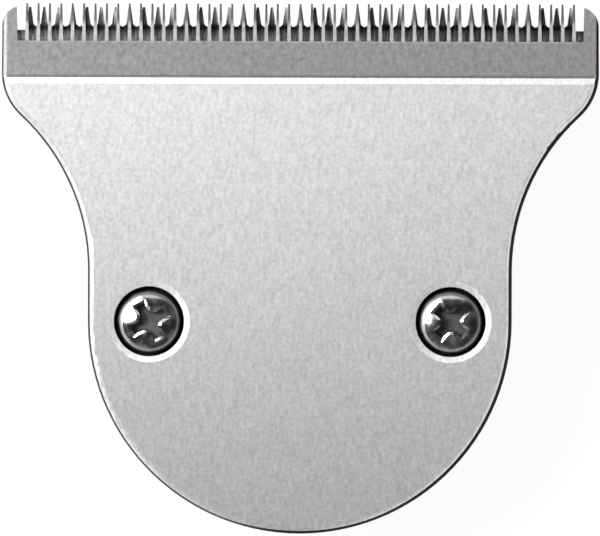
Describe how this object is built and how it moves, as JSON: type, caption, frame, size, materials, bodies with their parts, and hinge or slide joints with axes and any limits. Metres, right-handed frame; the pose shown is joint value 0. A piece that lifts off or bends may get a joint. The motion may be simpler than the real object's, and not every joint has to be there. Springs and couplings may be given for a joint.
{
  "type": "trimmer blade set",
  "caption": "T-shaped trimmer blade set: a fine-toothed comb plate with a rounded base, a toothed cutter that slides behind it, a leaf spring and screws that fix it to the trimmer.",
  "frame": {"origin": "midway between the two screws, on the rear face of the clamp plate that seats on the trimmer", "axes": "+X across the blade, +Y towards the teeth, +Z out of the outer (skin) side of the comb plate"},
  "size_m": [0.04, 0.0355, 0.0094],
  "materials": {
    "blade_steel": "satin, with a fine grain across the face",
    "cutter_steel": "ground",
    "guide_nylon": "moulded",
    "plain_steel": "stamped, zinc plated",
    "spring_steel": "tempered strip",
    "screw_plating": "bright nickel plating"
  },
  "bodies": {
    "blade": {"fixed_blade": "blade_steel", "guide_spacer": "plain_steel", "tension_spring": "spring_steel", "clamp_plate": "plain_steel", "screw_left": "screw_plating", "screw_right": "screw_plating"},
    "cutter": {"moving_cutter": "cutter_steel", "drive_guide": "guide_nylon"}
  },
  "joints": [
    {"name": "cutter_slide", "type": "slide", "parent": "blade", "child": "cutter", "axis": [1, 0, 0], "range_m": [-0.0006, 0.0006]}
  ]
}
